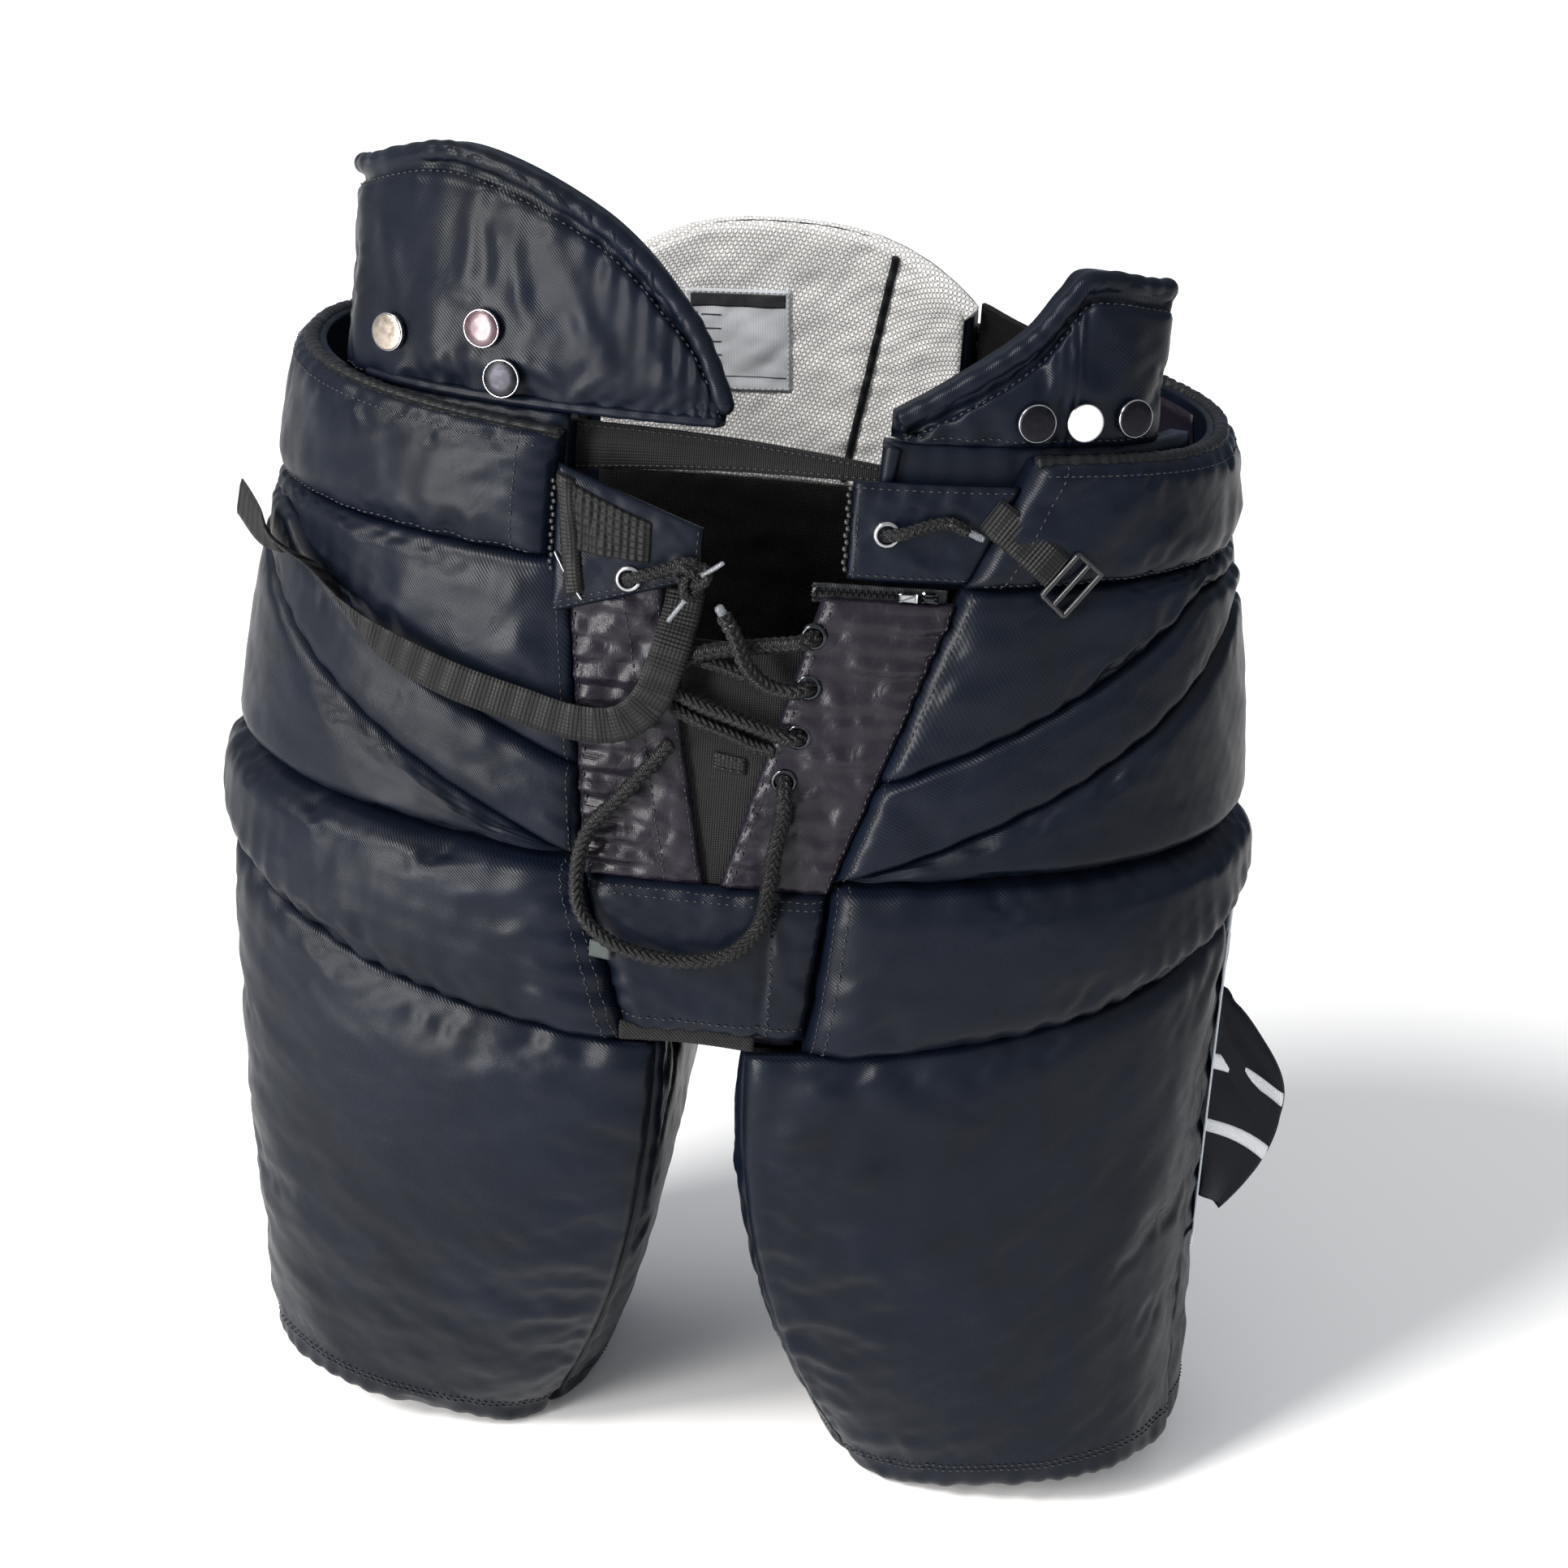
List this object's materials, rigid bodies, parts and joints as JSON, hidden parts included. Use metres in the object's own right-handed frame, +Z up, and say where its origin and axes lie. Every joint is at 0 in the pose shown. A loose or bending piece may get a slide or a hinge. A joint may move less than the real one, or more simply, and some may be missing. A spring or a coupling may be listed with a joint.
{
  "type": "hockey pants",
  "caption": "Padded goalie-style ice hockey pants with belly flaps, laced fly, waist belt, overlapping hip and thigh pads, and a mesh-lined back pad.",
  "frame": {"origin": "middle of the footprint, on the floor under the two leg hems, free cords left out", "axes": "+Z up, -Y the front of the pants, +X towards the wearer's left"},
  "size_m": [0.6246, 0.3206, 0.763],
  "materials": {
    "satin_nylon": "black nylon twill with a soft satin sheen, over foam",
    "thin_nylon": "thin crinkled black nylon",
    "webbing": "black ribbed webbing and elastic",
    "lace_cord": "black round braided lace",
    "mesh_lining": "coarse off-white mesh",
    "guard_plastic": "natural polyethylene sheet",
    "black_plastic": "moulded black acetal",
    "button_steel": "nickel-plated steel",
    "nickel": "polished nickel",
    "black_nickel": "black nickel"
  },
  "bodies": {
    "torso": {"right_waist_belt": "satin_nylon", "right_hip_upper_panel": "satin_nylon", "right_hip_middle_panel": "satin_nylon", "right_hip_lower_panel": "satin_nylon", "right_upper_thigh_pad": "satin_nylon", "left_waist_belt": "satin_nylon", "left_hip_upper_panel": "satin_nylon", "left_hip_middle_panel": "satin_nylon", "left_hip_lower_panel": "satin_nylon", "left_upper_thigh_pad": "satin_nylon", "seat_panel": "satin_nylon", "right_fly_placket": "thin_nylon", "left_fly_placket": "thin_nylon", "fly_tongue": "thin_nylon", "cup_pocket": "satin_nylon", "crotch_gusset": "thin_nylon", "right_belly_base": "satin_nylon", "left_belly_base": "satin_nylon", "back_pad": "satin_nylon", "back_lining": "mesh_lining", "tail_plate": "guard_plastic", "right_back_corner": "webbing", "left_back_corner": "webbing", "belly_strap": "webbing", "right_lace_tab": "satin_nylon", "left_lace_tab": "satin_nylon", "right_tab_grommet": "nickel", "left_tab_grommet": "nickel", "fly_eyelet_1": "black_nickel", "fly_eyelet_2": "black_nickel", "fly_eyelet_3": "black_nickel", "fly_eyelet_4": "black_nickel", "fly_lace": "lace_cord", "fly_lace_end": "lace_cord", "fly_lace_loop": "lace_cord", "right_waist_lace": "lace_cord", "left_waist_lace": "lace_cord", "loose_strap": "webbing", "buckle_webbing": "webbing", "zip_chain": "black_plastic"},
    "right_leg": {"right_thigh_pad": "satin_nylon", "right_leg_back_panel": "satin_nylon", "right_leg_inner_panel": "satin_nylon", "right_thigh_plate": "guard_plastic"},
    "left_leg": {"left_thigh_pad": "satin_nylon", "left_leg_back_panel": "satin_nylon", "left_leg_inner_panel": "satin_nylon", "left_thigh_plate": "guard_plastic", "left_rear_fold": "thin_nylon"},
    "right_flap": {"right_belly_flap": "satin_nylon", "right_flap_button_1": "button_steel", "right_flap_button_2": "button_steel", "right_flap_button_3": "button_steel"},
    "left_flap": {"left_belly_flap": "satin_nylon", "left_flap_button_1": "button_steel", "left_flap_button_2": "button_steel", "left_flap_button_3": "button_steel"},
    "slider": {"zip_slider": "black_plastic"},
    "pull": {"zip_pull": "nickel"},
    "buckle": {"slide_buckle": "black_plastic"}
  },
  "joints": [
    {"name": "right_leg_flex", "type": "hinge", "parent": "torso", "child": "right_leg", "pos_m": [-0.17394, -0.14831, 0.297], "axis": [-1, 0, 0], "range_deg": [0, 20]},
    {"name": "left_leg_flex", "type": "hinge", "parent": "torso", "child": "left_leg", "pos_m": [0.12606, -0.14831, 0.297], "axis": [-1, 0, 0], "range_deg": [0, 20]},
    {"name": "right_flap_tilt", "type": "hinge", "parent": "torso", "child": "right_flap", "pos_m": [-0.13394, -0.12383, 0.636], "axis": [1, 0, 0], "range_deg": [0, 35]},
    {"name": "left_flap_tilt", "type": "hinge", "parent": "torso", "child": "left_flap", "pos_m": [0.12606, -0.11894, 0.636], "axis": [1, 0, 0], "range_deg": [0, 35]},
    {"name": "zip_slide", "type": "slide", "parent": "torso", "child": "slider", "axis": [-0.9945, -0.1047, 0], "range_m": [0, 0.03]},
    {"name": "zip_pull_flip", "type": "hinge", "parent": "slider", "child": "pull", "pos_m": [0.07247, -0.13323, 0.5594], "axis": [0, 0, 1], "range_deg": [0, 90]},
    {"name": "buckle_swivel", "type": "hinge", "parent": "torso", "child": "buckle", "pos_m": [0.1442, -0.12263, 0.57595], "axis": [-0.5969, -0.2615, -0.7585], "range_deg": [0, 70]}
  ]
}
